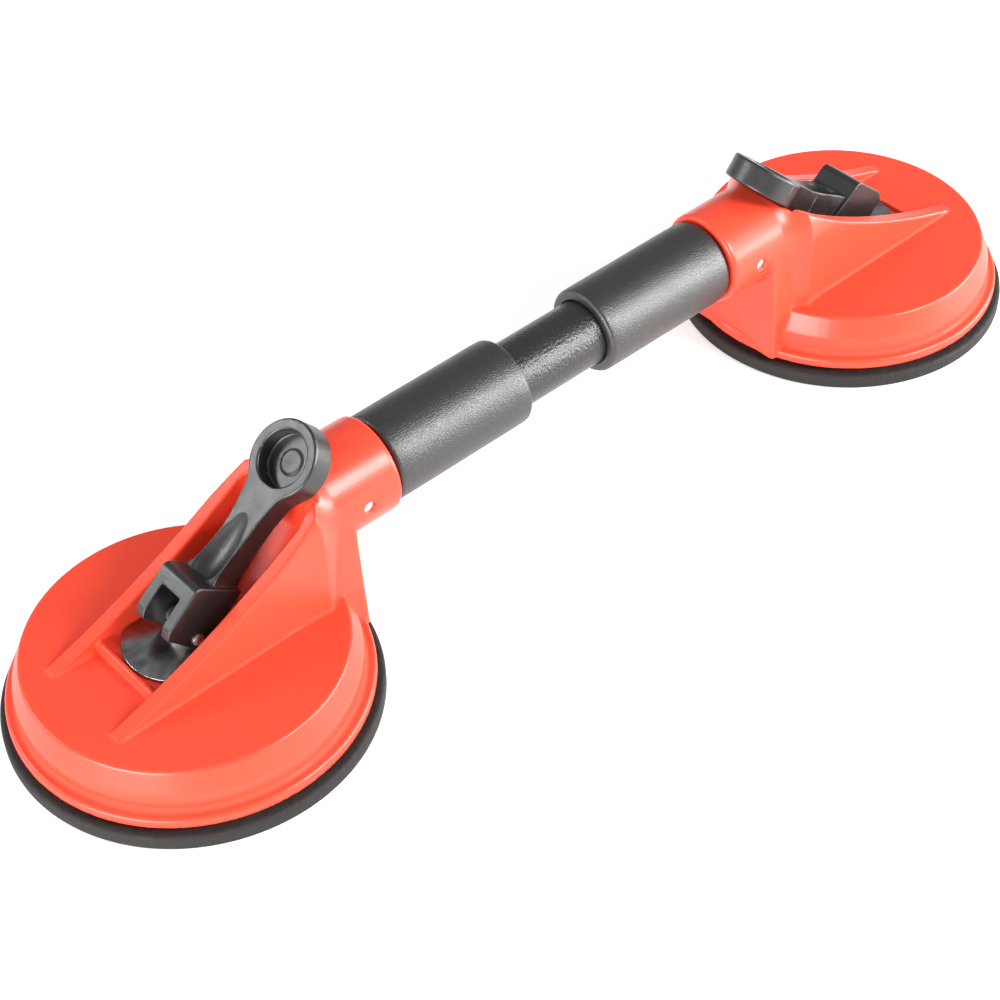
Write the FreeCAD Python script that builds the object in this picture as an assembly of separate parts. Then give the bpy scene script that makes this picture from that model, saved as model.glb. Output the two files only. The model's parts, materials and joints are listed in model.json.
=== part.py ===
import FreeCAD, Part
import math
import os

# Floor tile suction lifter: two suction heads on a padded bar.
# Each head is a moulded housing over a rubber pad. A cam lever in the housing's
# pocket turns on an axle in the stud, and draws the middle of the pad upwards.
# Millimetres. X runs along the bar, Z is up, the pads stand on Z = 0 and the
# origin lies under the middle of the bar. A head is made with its axis on Z and
# the bar leaving towards +X, and is then moved or mirrored to its end of the bar.

V = FreeCAD.Vector
OUT = "parts"
os.makedirs(OUT, exist_ok=True)

# Overall
HEAD_SPACING = 285.0        # between the axes of the two pads
BAR_HEIGHT = 49.5           # bar axis above the ground

# Rubber pad
PAD_RADIUS = 57.5
PAD_RIM_HEIGHT = 5.0
PAD_WEB = 3.2               # rubber between the rim and the middle boss
PAD_HOLLOW = 1.0            # how far the middle of the sole is dished
PAD_SOLE_WIDTH = 9.0        # flat ring that touches the tile
PAD_BOSS_RADIUS = 22.0
PAD_BOSS_COVER = 2.6        # rubber over the anchor plate
PAD_EDGE_ROUND = 1.0

# Housing base
LIP_INSET = 2.3             # the lip's edge is this far inside the pad's
LIP_GAP = 1.8               # dark gap between the pad's rim and the lip
LIP_HEIGHT = 3.4
LIP_ROUND = 1.4
LIP_STANDOUT = 3.4          # beyond the upright band
BAND_TOP = 16.5
BAND_DRAFT = 3.0            # the cone between band and crown leans in by this
CROWN_TOP = 24.0
CREASE_ROUND = 1.0
SEAT_STANDOUT = 0.4         # ring that presses on the pad's rim, beyond the band
WALL = 2.6
HOLLOW_DROP = 0.5           # the hollow's cone starts this far under the band's top

# Side ribs, pocket and tower
RIB_START = -36.5           # low end of the ribs, outboard of the stud
RIB_HALF_SPAN = 19.0        # outer face of a rib from the middle plane
RIB_SAG = 3.7               # how far the rib's top curve hangs under its chord
RIB_LIFT = 0.3              # height of the low end over the crown
RIB_TOP_END = 46.0          # where the rib's top meets the collar
RIB_MEET_DROP = 0.8         # and how far under the collar's top
SWELL_START = 28.0          # the ribs swell outwards from here
SWELL_END = 39.5
SWELL = 0.9
NECK_END = 48.5             # and are drawn in to the collar by here
NECK_BEND_RUN = 0.42        # where the neck bends, as shares of its run and fall
NECK_BEND_FALL = 0.36
TOWER_START = 38.5
TOWER_END = 54.0            # flat inboard face of the tower
TOWER_HALF_SPAN = 18.6      # at the foot of the tower
TOWER_CORNER = 1.5
RIB_EDGE_ROUND = 0.8        # at the low end, fading out towards the arch
RIB_ROUND_FADE = 0.2
RIB_ROUND_END = 21.0
POCKET_HALF_SPAN = 14.2
POCKET_END = 40.5
POCKET_CORNER = 6.5
POCKET_FLOOR = 25.8
POCKET_RAMP_START = 20.0
POCKET_RAMP_ANGLE = 45.0
STOP_RIB_FACE = -20.8       # low cross rib in front of the wear plate
STOP_RIB_WIDTH = 1.6
STOP_RIB_TOP = 27.5
SADDLE_HALF_SPAN = 12.9
SADDLE_GAP = 0.5            # under the back of the lever's finger disc
SADDLE_LEAD = 4.0           # the seat starts this far before the disc

# Collar, tube and grips
COLLAR_RADIUS = 15.8
COLLAR_END = 72.0
COLLAR_ROUND = 1.3
SOCKET_START = 44.0
TUBE_RADIUS = 11.0
TUBE_WALL = 1.5
TUBE_FIT = 0.03
GRIP_RADIUS = 14.5
GRIP_START = 72.8
GRIP_LENGTH = 52.8
GRIP_ROUND = 1.5
TUBE_PIN_RADIUS = 1.9
TUBE_PIN_PLACE = 59.5
TUBE_PIN_RECESS = 0.9

# Stud, anchor plate and wear plate
STUD_RADIUS = 4.0
STUD_CLEARANCE = 0.35
STUD_TOP = 5.3              # above the axle
STUD_END_ROUND = 1.2
STUD_FLANGE_RADIUS = 7.5
STUD_FLANGE = 1.2
ANCHOR_RADIUS = 18.0
ANCHOR_THICKNESS = 2.0
ANCHOR_BOTTOM = 5.2
RUBBER_GAP = 0.3
WEAR_THICKNESS = 1.5
WEAR_HALF_LENGTH = 18.8
WEAR_HALF_WIDTH = 13.6
WEAR_END_RADIUS = 17.2
AXLE_RADIUS = 2.0
AXLE_FIT = 0.05
PRESS_FIT = 0.02
AXLE_STANDOUT = 0.9
AXLE_CHAMFER = 0.4

# Cam lever, along S from the axle to the finger disc and N out of its front
LEVER_REST_ANGLE = 41.0
LEVER_REST_HEIGHT = 3.7     # axle over the wear plate when released
LEVER_REACH = 57.2          # axle to the middle of the finger disc
DISC_RADIUS = 12.1
DISC_FACE = 2.8
LEVER_BACK = -5.2
DISC_EDGE = 0.5
RECESS_RADIUS = 8.6
RECESS_DEPTH = 5.0
BOSS_RADIUS = 3.9
BOSS_TIP_RADIUS = 0.6
BOSS_HEIGHT = 0.8
BLOCK_HALF_WIDTH = 8.05
BLOCK_FACE = 12.6
HEEL = -3.3                 # open ends of the fork's legs
HEEL_ROUND = 3.0            # the heel stays clear of the plate all the way round
HEEL_DEPTH = 1.65
HEEL_MID_ALONG = 1.26
HEEL_MID_DEPTH = 0.81
BACK_LOW = 2.0              # the block's back is an arc over these three places
BACK_MID = (-1.6, -3.0)
BACK_TOP = 0.8
RIDGE_FRONT = 12.5
RIDGE_BACK = 15.0
RIDGE_DROP = 1.7
SHELF_LEAN = 3.2            # the block's shoulder leans back from the ridge
FORK_HALF_GAP = 4.3
FORK_DEPTH = 8.9
ARM_HALF_WIDTH = 5.0
ARM_ROOT = 14.0             # the arm starts here, inside the block
ARM_RISE = 3.6              # its front falls from the block to the disc's face
ARM_SAG = 0.35
ARM_LEVEL = 12.1            # and is level with it this far before the disc
ARM_FLARE = (               # share of the way to the disc, extra half width
    (0.0, 1.6), (0.11, 0.7), (0.26, 0.2), (0.48, 0.0), (0.68, 0.2), (0.85, 1.2))
DISC_JOIN = (0.70, 0.63)    # where the arm's line ends inside the disc
DISH_RADIUS = 7.2           # long dish in the arm's front
DISH_START = 17.8
DISH_START_FLOOR = 3.6
DISH_STOP_FLOOR = 1.4

LIP_RADIUS = PAD_RADIUS - LIP_INSET
BAND_RADIUS = LIP_RADIUS - LIP_STANDOUT
CROWN_RADIUS = BAND_RADIUS - BAND_DRAFT
SEAT_RADIUS = BAND_RADIUS + SEAT_STANDOUT
PLATE_TOP = POCKET_FLOOR + WEAR_THICKNESS
AXLE_HEIGHT = PLATE_TOP + LEVER_REST_HEIGHT
LIP_BOTTOM = PAD_RIM_HEIGHT + LIP_GAP
LIP_TOP = LIP_BOTTOM + LIP_HEIGHT
COLLAR_TOP = BAR_HEIGHT + COLLAR_RADIUS
REACH_ALL = 200.0           # longer than any part, for cutting tools
MARGIN = 1.0                # how far a cutting outline passes what it cuts
SAME = 1e-4                 # two places this close are one


def ring_face(points):
    """Flat face in the XZ plane from its corners."""
    corners = [V(x, 0, z) for x, z in points]
    return Part.Face(Part.makePolygon(corners + corners[:1]))


def turned(points):
    """Solid of revolution about Z of a profile of radius and height."""
    return ring_face(points).revolve(V(0, 0, 0), V(0, 0, 1), 360)


def across(face, half_width):
    """A face in the XZ plane drawn out to both sides of the middle plane."""
    slab = face.copy()
    slab.translate(V(0, -half_width, 0))
    return slab.extrude(V(0, 2 * half_width, 0))


def rod(radius, start, direction, length):
    return Part.makeCylinder(radius, length, start, direction)


def rounded(shape, radius, wanted):
    """Round the edges that the test wanted picks."""
    return shape.makeFillet(radius, [edge for edge in shape.Edges if wanted(edge)])


def is_circle(edge, radius, axis, place):
    """True for a circle of this radius whose centre has this place on an axis."""
    curve = edge.Curve
    if not isinstance(curve, Part.Circle):
        return False
    centre = getattr(curve.Center, axis)
    return abs(curve.Radius - radius) < SAME and abs(centre - place) < SAME


def rim(radius, height):
    return lambda edge: is_circle(edge, radius, "z", height)


def side_span(place):
    """Half width of the ribs and neck at a place along the bar."""
    if place <= SWELL_START:
        return RIB_HALF_SPAN
    share = (place - SWELL_START) / (SWELL_END - SWELL_START)
    return RIB_HALF_SPAN + SWELL * share * share


def neck_edges(offset):
    """Outer line of ribs and neck, from the low end to the tower, on one side."""
    low = V(RIB_START, offset(RIB_HALF_SPAN), 0)
    swell_from = V(SWELL_START, offset(RIB_HALF_SPAN), 0)
    middle = 0.5 * (SWELL_START + SWELL_END)
    swell_mid = V(middle, offset(side_span(middle)), 0)
    swell_to = V(SWELL_END, offset(RIB_HALF_SPAN + SWELL), 0)
    run = NECK_END - SWELL_END
    fall = RIB_HALF_SPAN + SWELL - COLLAR_RADIUS
    neck_mid = V(SWELL_END + NECK_BEND_RUN * run, offset(COLLAR_RADIUS + NECK_BEND_FALL * fall), 0)
    neck_to = V(NECK_END, offset(COLLAR_RADIUS), 0)
    end = V(TOWER_END, offset(COLLAR_RADIUS), 0)
    return [
        Part.LineSegment(low, swell_from).toShape(),
        Part.Arc(swell_from, swell_mid, swell_to).toShape(),
        Part.Arc(swell_to, neck_mid, neck_to).toShape(),
        Part.LineSegment(neck_to, end).toShape(),
    ]


def rib_block():
    """Ribs and neck before the pocket is cut: upright sides, arched over the bar."""
    near = neck_edges(lambda span: -span)
    far = neck_edges(lambda span: span)
    outboard = Part.makeLine(V(RIB_START, -RIB_HALF_SPAN, 0), V(RIB_START, RIB_HALF_SPAN, 0))
    inboard = Part.makeLine(V(TOWER_END, -COLLAR_RADIUS, 0), V(TOWER_END, COLLAR_RADIUS, 0))
    outline = Part.Face(Part.Wire(Part.__sortEdges__(near + far + [outboard, inboard])))
    foot = BAND_TOP
    outline.translate(V(0, 0, foot))
    sides = outline.extrude(V(0, 0, BAR_HEIGHT - foot))
    on_axis = Part.makeLine(V(RIB_START, 0, 0), V(TOWER_END, 0, 0))
    ends = [
        Part.makeLine(V(RIB_START, 0, 0), V(RIB_START, RIB_HALF_SPAN, 0)),
        Part.makeLine(V(TOWER_END, 0, 0), V(TOWER_END, COLLAR_RADIUS, 0)),
    ]
    half = Part.Face(Part.Wire(Part.__sortEdges__(far + ends + [on_axis])))
    half.translate(V(0, 0, BAR_HEIGHT))
    arch = half.revolve(V(0, 0, BAR_HEIGHT), V(1, 0, 0), 180)
    low = V(RIB_START, 0, CROWN_TOP + RIB_LIFT)
    high = V(RIB_TOP_END, 0, COLLAR_TOP - RIB_MEET_DROP)
    chord = high - low
    hang = V(chord.z, 0, -chord.x).normalize() * RIB_SAG
    top = Part.Arc(low, (low + high) * 0.5 + hang, high).toShape()
    above = COLLAR_TOP + MARGIN
    corners = [high, V(RIB_TOP_END + MARGIN, 0, above), V(TOWER_END, 0, above),
               V(TOWER_END, 0, foot), V(RIB_START, 0, foot), low]
    side = Part.Face(Part.Wire([top] + Part.makePolygon(corners).Edges))
    block = sides.fuse(arch).common(across(side, REACH_ALL)).removeSplitter()
    split = RIB_ROUND_END
    behind = Part.makeBox(REACH_ALL, REACH_ALL, REACH_ALL, V(split - REACH_ALL, -REACH_ALL / 2, 0))
    ribs = block.common(behind)

    def top_edge(edge):
        line = edge.discretize(3)
        outer = abs(abs(line[1].y) - RIB_HALF_SPAN) < SAME
        return outer and abs(line[0].x - line[-1].x) > split - RIB_START - MARGIN and line[1].z > CROWN_TOP
    edges = [edge for edge in ribs.Edges if top_edge(edge)]
    low_first = edges[0].Vertexes[0].X < 0
    radii = (RIB_EDGE_ROUND, RIB_ROUND_FADE) if low_first else (RIB_ROUND_FADE, RIB_EDGE_ROUND)
    ribs = ribs.makeFillet(radii[0], radii[1], edges)
    return block.cut(behind).fuse(ribs)


def tower():
    """Upright block under the collar, its drafted sides tangent to the collar."""
    drop = BAR_HEIGHT - LIP_BOTTOM
    reach = math.hypot(TOWER_HALF_SPAN, drop)
    lean = math.atan2(TOWER_HALF_SPAN, drop) - math.asin(COLLAR_RADIUS / reach)
    touch_y = COLLAR_RADIUS * math.cos(lean)
    touch_z = BAR_HEIGHT + COLLAR_RADIUS * math.sin(lean)
    left_foot = V(TOWER_START, -TOWER_HALF_SPAN, LIP_BOTTOM)
    right_foot = V(left_foot.x, TOWER_HALF_SPAN, LIP_BOTTOM)
    left = V(left_foot.x, -touch_y, touch_z)
    right = V(left_foot.x, touch_y, touch_z)
    over = Part.Arc(right, V(left_foot.x, 0, COLLAR_TOP), left).toShape()
    lines = [Part.makeLine(left, left_foot), Part.makeLine(left_foot, right_foot),
             Part.makeLine(right_foot, right)]
    section = Part.Face(Part.Wire([over] + lines))
    block = section.extrude(V(TOWER_END - left_foot.x, 0, 0))

    def upright_corner(edge):
        ends = edge.Vertexes
        at_end = all(abs(p.X - TOWER_END) < SAME for p in ends)
        return at_end and len(ends) == 2 and abs(ends[0].Z - ends[1].Z) > drop / 2
    return rounded(block, TOWER_CORNER, upright_corner)


def pocket():
    """Space for the lever between the ribs, with the floor that carries the plate."""
    ramp_rise = math.tan(math.radians(POCKET_RAMP_ANGLE)) * (POCKET_END - POCKET_RAMP_START)
    stop_back = STOP_RIB_FACE + STOP_RIB_WIDTH
    outboard = -LIP_RADIUS
    above = 2 * COLLAR_TOP
    side = ring_face([
        (outboard, CROWN_TOP), (STOP_RIB_FACE, CROWN_TOP), (STOP_RIB_FACE, STOP_RIB_TOP),
        (stop_back, STOP_RIB_TOP), (stop_back, POCKET_FLOOR),
        (POCKET_RAMP_START, POCKET_FLOOR), (POCKET_END, POCKET_FLOOR + ramp_rise),
        (POCKET_END, above), (outboard, above)])
    width = Part.makeBox(POCKET_END - outboard, 2 * POCKET_HALF_SPAN, above,
                         V(outboard, -POCKET_HALF_SPAN, 0))

    def inboard_corner(edge):
        return all(abs(p.X - POCKET_END) < SAME for p in edge.Vertexes) and edge.Length > above / 2
    width = rounded(width, POCKET_CORNER, inboard_corner)
    return across(side, REACH_ALL).common(width)


def along_lever(shape):
    """Turn a shape from lever axes (S on X, N on Z, axle at 0) to its rest place."""
    shape.rotate(V(0, 0, 0), V(0, -1, 0), LEVER_REST_ANGLE)
    shape.translate(V(0, 0, AXLE_HEIGHT))
    return shape


def saddle():
    """Sloped seat under the finger disc, cut into the neck and the collar."""
    start = LEVER_REACH - DISC_RADIUS - SADDLE_LEAD
    seat = Part.makeBox(REACH_ALL, 2 * SADDLE_HALF_SPAN, REACH_ALL,
                        V(start, -SADDLE_HALF_SPAN, LEVER_BACK - SADDLE_GAP))
    return along_lever(seat)


def housing():
    base = turned([
        (0, PAD_RIM_HEIGHT), (SEAT_RADIUS, PAD_RIM_HEIGHT), (SEAT_RADIUS, LIP_BOTTOM),
        (LIP_RADIUS, LIP_BOTTOM), (LIP_RADIUS, LIP_TOP), (BAND_RADIUS, LIP_TOP),
        (BAND_RADIUS, BAND_TOP), (CROWN_RADIUS, CROWN_TOP), (0, CROWN_TOP)])
    base = rounded(base, LIP_ROUND, rim(LIP_RADIUS, LIP_TOP))
    base = rounded(base, LIP_ROUND, rim(BAND_RADIUS, LIP_TOP))
    base = rounded(base, CREASE_ROUND, rim(CROWN_RADIUS, CROWN_TOP))
    base = rounded(base, CREASE_ROUND, rim(BAND_RADIUS, BAND_TOP))
    collar = rod(COLLAR_RADIUS, V(SOCKET_START, 0, BAR_HEIGHT), V(1, 0, 0),
                 COLLAR_END - SOCKET_START)
    collar = rounded(collar, COLLAR_ROUND,
                     lambda edge: is_circle(edge, COLLAR_RADIUS, "x", COLLAR_END))
    body = base.fuse([rib_block(), tower(), collar])
    under = CROWN_TOP - WALL
    slope = (CROWN_RADIUS - BAND_RADIUS) / (CROWN_TOP - BAND_TOP)
    inner = BAND_RADIUS - WALL
    hollow = turned([
        (0, 0), (inner, 0), (inner, BAND_TOP - HOLLOW_DROP), (inner + slope * (under - BAND_TOP), under),
        (0, under)])
    ramp_foot = POCKET_RAMP_START + 2 * WALL
    tower_back = TOWER_END - WALL
    tower_ceiling = BAR_HEIGHT - COLLAR_RADIUS - 0.5 * WALL
    tower_hollow = across(ring_face([
        (ramp_foot, under - WALL), (tower_back, LIP_BOTTOM - 2 * LIP_GAP), (tower_back, tower_ceiling),
        (ramp_foot + tower_ceiling - under, tower_ceiling)]), COLLAR_RADIUS - WALL)
    socket = rod(TUBE_RADIUS + TUBE_FIT, V(SOCKET_START, 0, BAR_HEIGHT), V(1, 0, 0), REACH_ALL)
    pin_hole = rod(TUBE_PIN_RADIUS + PRESS_FIT, V(TUBE_PIN_PLACE, -REACH_ALL, BAR_HEIGHT),
                   V(0, 1, 0), 2 * REACH_ALL)
    stud_hole = rod(STUD_RADIUS + STUD_CLEARANCE, V(0, 0, 0), V(0, 0, 1), CROWN_TOP * 2)
    body = body.cut([pocket(), saddle(), hollow, tower_hollow, socket, pin_hole, stud_hole])
    return body.removeSplitter()


def pad():
    inner_rim = SEAT_RADIUS - 2 * WALL
    plate_top = ANCHOR_BOTTOM + ANCHOR_THICKNESS
    boss_top = plate_top + RUBBER_GAP + PAD_BOSS_COVER
    sole = PAD_RADIUS - PAD_SOLE_WIDTH
    body = turned([
        (0, PAD_HOLLOW), (sole - 2 * PAD_SOLE_WIDTH, PAD_HOLLOW), (sole, 0), (PAD_RADIUS, 0),
        (PAD_RADIUS, PAD_RIM_HEIGHT), (inner_rim, PAD_RIM_HEIGHT),
        (inner_rim - PAD_WEB, PAD_WEB + PAD_HOLLOW), (PAD_BOSS_RADIUS + PAD_WEB, PAD_WEB + PAD_HOLLOW),
        (PAD_BOSS_RADIUS, boss_top), (0, boss_top)])
    body = rounded(body, PAD_EDGE_ROUND, rim(PAD_RADIUS, PAD_RIM_HEIGHT))
    space = rod(ANCHOR_RADIUS + RUBBER_GAP, V(0, 0, ANCHOR_BOTTOM - RUBBER_GAP), V(0, 0, 1),
                ANCHOR_THICKNESS + 2 * RUBBER_GAP)
    head_space = rod(STUD_FLANGE_RADIUS + RUBBER_GAP,
                     V(0, 0, ANCHOR_BOTTOM - STUD_FLANGE - RUBBER_GAP), V(0, 0, 1),
                     STUD_FLANGE + RUBBER_GAP)
    throat = rod(STUD_RADIUS + STUD_CLEARANCE, V(0, 0, plate_top), V(0, 0, 1), boss_top)
    return body.cut([space, head_space, throat])


def anchor_plate():
    plate = rod(ANCHOR_RADIUS, V(0, 0, ANCHOR_BOTTOM), V(0, 0, 1), ANCHOR_THICKNESS)
    return plate.cut(rod(STUD_RADIUS + PRESS_FIT, V(0, 0, 0), V(0, 0, 1), AXLE_HEIGHT))


def stud():
    top = AXLE_HEIGHT + STUD_TOP
    bottom = ANCHOR_BOTTOM - STUD_FLANGE
    shank = rod(STUD_RADIUS, V(0, 0, bottom), V(0, 0, 1), top - bottom)
    shank = rounded(shank, STUD_END_ROUND, rim(STUD_RADIUS, top))
    flange = rod(STUD_FLANGE_RADIUS, V(0, 0, bottom), V(0, 0, 1), STUD_FLANGE)
    hole = rod(AXLE_RADIUS + PRESS_FIT, V(0, -STUD_FLANGE_RADIUS, AXLE_HEIGHT), V(0, 1, 0),
               2 * STUD_FLANGE_RADIUS)
    return shank.fuse(flange).cut(hole)


def axle():
    half = BLOCK_HALF_WIDTH + AXLE_STANDOUT
    pin = rod(AXLE_RADIUS, V(0, -half, AXLE_HEIGHT), V(0, 1, 0), 2 * half)
    ends = [edge for edge in pin.Edges if isinstance(edge.Curve, Part.Circle)]
    return pin.makeChamfer(AXLE_CHAMFER, ends)


def wear_plate():
    """Zinc plate with arched ends that the cam bears on."""
    plate = Part.makeBox(2 * WEAR_HALF_LENGTH, 2 * WEAR_HALF_WIDTH, WEAR_THICKNESS,
                         V(-WEAR_HALF_LENGTH, -WEAR_HALF_WIDTH, POCKET_FLOOR))
    centre = WEAR_HALF_LENGTH - WEAR_END_RADIUS
    for side in (-1, 1):
        arched = rod(WEAR_END_RADIUS, V(side * centre, 0, POCKET_FLOOR), V(0, 0, 1), WEAR_THICKNESS)
        reach = Part.makeBox(REACH_ALL, REACH_ALL, WEAR_THICKNESS,
                             V(-REACH_ALL if side > 0 else 0, -REACH_ALL / 2, POCKET_FLOOR))
        plate = plate.common(arched.fuse(reach))
    hole = rod(STUD_RADIUS + STUD_CLEARANCE, V(0, 0, POCKET_FLOOR), V(0, 0, 1), WEAR_THICKNESS)
    return plate.cut(hole).removeSplitter()


def block_side():
    """Side view of the cam block: heel, bearing face, ridge and shoulder."""
    back_low = V(BACK_LOW, 0, LEVER_BACK)
    back_top = V(HEEL, 0, BACK_TOP)
    heel_top = V(HEEL, 0, BLOCK_FACE - HEEL_DEPTH)
    heel_mid = V(HEEL + HEEL_MID_ALONG, 0, BLOCK_FACE - HEEL_MID_DEPTH)
    heel_front = V(HEEL + HEEL_ROUND, 0, BLOCK_FACE)
    crest = V(RIDGE_BACK, 0, BLOCK_FACE - RIDGE_DROP)
    rest = [heel_front, V(RIDGE_FRONT, 0, BLOCK_FACE), crest,
            V(RIDGE_BACK + SHELF_LEAN, 0, LEVER_BACK), back_low]
    edges = [
        Part.Arc(back_low, V(BACK_MID[0], 0, BACK_MID[1]), back_top).toShape(),
        Part.makeLine(back_top, heel_top),
        Part.Arc(heel_top, heel_mid, heel_front).toShape(),
    ]
    return Part.Face(Part.Wire(edges + Part.makePolygon(rest).Edges))


def arm_side():
    """Side view of the arm: its front falls in a flat curve from block to disc."""
    high = V(ARM_ROOT, 0, DISC_FACE + ARM_RISE)
    level = V(LEVER_REACH - DISC_RADIUS - ARM_LEVEL, 0, DISC_FACE)
    middle = (high + level) * 0.5 - V(0, 0, ARM_SAG)
    front = Part.Arc(high, middle, level).toShape()
    rest = [level, V(LEVER_REACH, 0, DISC_FACE), V(LEVER_REACH, 0, LEVER_BACK),
            V(ARM_ROOT, 0, LEVER_BACK), high]
    return Part.Face(Part.Wire([front] + Part.makePolygon(rest).Edges))


def arm_front():
    """Front view of the arm, drawn right through: waisted, and flowing into the disc."""
    run = LEVER_REACH - DISC_RADIUS - ARM_ROOT
    line = [(ARM_ROOT + share * run, ARM_HALF_WIDTH + extra) for share, extra in ARM_FLARE]
    line.append((LEVER_REACH - DISC_JOIN[0] * DISC_RADIUS, DISC_JOIN[1] * DISC_RADIUS))
    edges = []
    for side in (-1, 1):
        curve = Part.BSplineCurve()
        curve.interpolate([V(s, side * y, 0) for s, y in line])
        edges.append(curve.toShape())
    for s, y in (line[0], line[-1]):
        edges.append(Part.makeLine(V(s, -y, 0), V(s, y, 0)))
    face = Part.Face(Part.Wire(Part.__sortEdges__(edges)))
    face.translate(V(0, 0, -REACH_ALL / 2))
    return face.extrude(V(0, 0, REACH_ALL))


def arm_dish():
    """Tools for the long dish in the arm's front, which ends round before the disc."""
    start = V(DISH_START, 0, DISH_START_FLOOR + DISH_RADIUS)
    stop = V(LEVER_REACH - DISC_RADIUS - ARM_LEVEL, 0, DISH_STOP_FLOOR + DISH_RADIUS)
    run = stop - start
    return [rod(DISH_RADIUS, start, run, run.Length), Part.makeSphere(DISH_RADIUS, stop, V(0, 1, 0))]


def cam_lever():
    block = across(block_side(), BLOCK_HALF_WIDTH)
    arm = across(arm_side(), REACH_ALL / 2).common(arm_front())
    disc = rod(DISC_RADIUS, V(LEVER_REACH, 0, LEVER_BACK), V(0, 0, 1), DISC_FACE - LEVER_BACK)
    disc = rounded(disc, DISC_EDGE, lambda edge: is_circle(edge, DISC_RADIUS, "z", LEVER_BACK))
    floor = DISC_FACE - RECESS_DEPTH
    recess = rod(RECESS_RADIUS, V(LEVER_REACH, 0, floor), V(0, 0, 1), REACH_ALL)
    boss = Part.makeCone(BOSS_RADIUS, BOSS_TIP_RADIUS, BOSS_HEIGHT, V(LEVER_REACH, 0, floor),
                         V(0, 0, 1))
    slot = Part.makeBox(REACH_ALL, 2 * FORK_HALF_GAP, REACH_ALL,
                        V(FORK_DEPTH - REACH_ALL, -FORK_HALF_GAP, -REACH_ALL / 2))
    bore = rod(AXLE_RADIUS + AXLE_FIT, V(0, -REACH_ALL / 2, 0), V(0, 1, 0), REACH_ALL)
    lever = block.fuse([arm, disc]).cut([recess, slot, bore] + arm_dish()).fuse(boss)
    return along_lever(lever.removeSplitter())


def tube():
    half = HEAD_SPACING / 2 - SOCKET_START
    outer = rod(TUBE_RADIUS, V(-half, 0, BAR_HEIGHT), V(1, 0, 0), 2 * half)
    bore = rod(TUBE_RADIUS - TUBE_WALL, V(-half, 0, BAR_HEIGHT), V(1, 0, 0), 2 * half)
    place = HEAD_SPACING / 2 - TUBE_PIN_PLACE
    holes = [rod(TUBE_PIN_RADIUS + PRESS_FIT, V(side * place, -TUBE_RADIUS * 2, BAR_HEIGHT),
                 V(0, 1, 0), 4 * TUBE_RADIUS) for side in (-1, 1)]
    return outer.cut([bore] + holes)


def tube_pin():
    half = COLLAR_RADIUS - TUBE_PIN_RECESS
    return rod(TUBE_PIN_RADIUS, V(TUBE_PIN_PLACE, -half, BAR_HEIGHT), V(0, 1, 0), 2 * half)


def grip():
    sleeve = rod(GRIP_RADIUS, V(GRIP_START, 0, BAR_HEIGHT), V(1, 0, 0), GRIP_LENGTH)
    sleeve = rounded(sleeve, GRIP_ROUND, lambda edge: isinstance(edge.Curve, Part.Circle))
    return sleeve.cut(rod(TUBE_RADIUS + TUBE_FIT, V(0, 0, BAR_HEIGHT), V(1, 0, 0), REACH_ALL))


HEAD_PARTS = {
    "housing": housing,
    "suction_pad": pad,
    "anchor_plate": anchor_plate,
    "lift_stud": stud,
    "lever_axle": axle,
    "wear_plate": wear_plate,
    "cam_lever": cam_lever,
    "tube_pin": tube_pin,
    "grip": grip,
}


def main():
    bar = tube()
    bar.exportStep(os.path.join(OUT, "tube.step"))
    for name, make in HEAD_PARTS.items():
        left = make()
        left.translate(V(-HEAD_SPACING / 2, 0, 0))
        right = left.mirror(V(0, 0, 0), V(1, 0, 0))
        for side, shape in (("left", left), ("right", right)):
            shape.exportStep(os.path.join(OUT, name + "_" + side + ".step"))
            print(name, side, shape.isValid(), len(shape.Solids), round(shape.Volume, 1))
    print("tube", bar.isValid(), len(bar.Solids), round(bar.Volume, 1))


main()
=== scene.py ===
import json
import math

import bpy
from mathutils import Matrix, Vector

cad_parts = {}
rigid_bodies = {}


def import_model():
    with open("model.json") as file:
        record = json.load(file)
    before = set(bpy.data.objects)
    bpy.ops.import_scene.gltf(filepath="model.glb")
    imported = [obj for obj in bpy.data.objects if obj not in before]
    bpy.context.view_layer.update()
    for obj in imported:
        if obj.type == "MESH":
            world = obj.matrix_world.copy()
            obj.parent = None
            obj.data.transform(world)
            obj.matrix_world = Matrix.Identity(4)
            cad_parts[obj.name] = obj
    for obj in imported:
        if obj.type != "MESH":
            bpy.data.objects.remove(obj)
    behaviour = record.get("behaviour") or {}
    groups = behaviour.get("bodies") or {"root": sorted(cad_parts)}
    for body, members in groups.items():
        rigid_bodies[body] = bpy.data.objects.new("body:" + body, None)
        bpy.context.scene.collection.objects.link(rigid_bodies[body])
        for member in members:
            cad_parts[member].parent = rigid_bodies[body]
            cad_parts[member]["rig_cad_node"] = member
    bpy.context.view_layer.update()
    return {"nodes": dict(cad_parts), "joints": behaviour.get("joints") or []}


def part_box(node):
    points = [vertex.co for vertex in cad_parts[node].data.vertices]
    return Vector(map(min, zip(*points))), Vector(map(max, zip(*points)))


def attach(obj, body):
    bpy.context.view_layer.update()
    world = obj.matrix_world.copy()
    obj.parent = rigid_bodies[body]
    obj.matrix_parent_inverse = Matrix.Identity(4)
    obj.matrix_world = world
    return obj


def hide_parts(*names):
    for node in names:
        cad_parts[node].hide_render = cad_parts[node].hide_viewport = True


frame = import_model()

bl_info = {
    "name": "Tile Suction Lifter",
    "version": (1, 0, 0),
    "blender": (4, 5, 0),
    "location": "3D View > Sidebar > Lifter",
    "description": "Dresses the two-cup tile lifter and sets its studio",
    "category": "Object",
}

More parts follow.
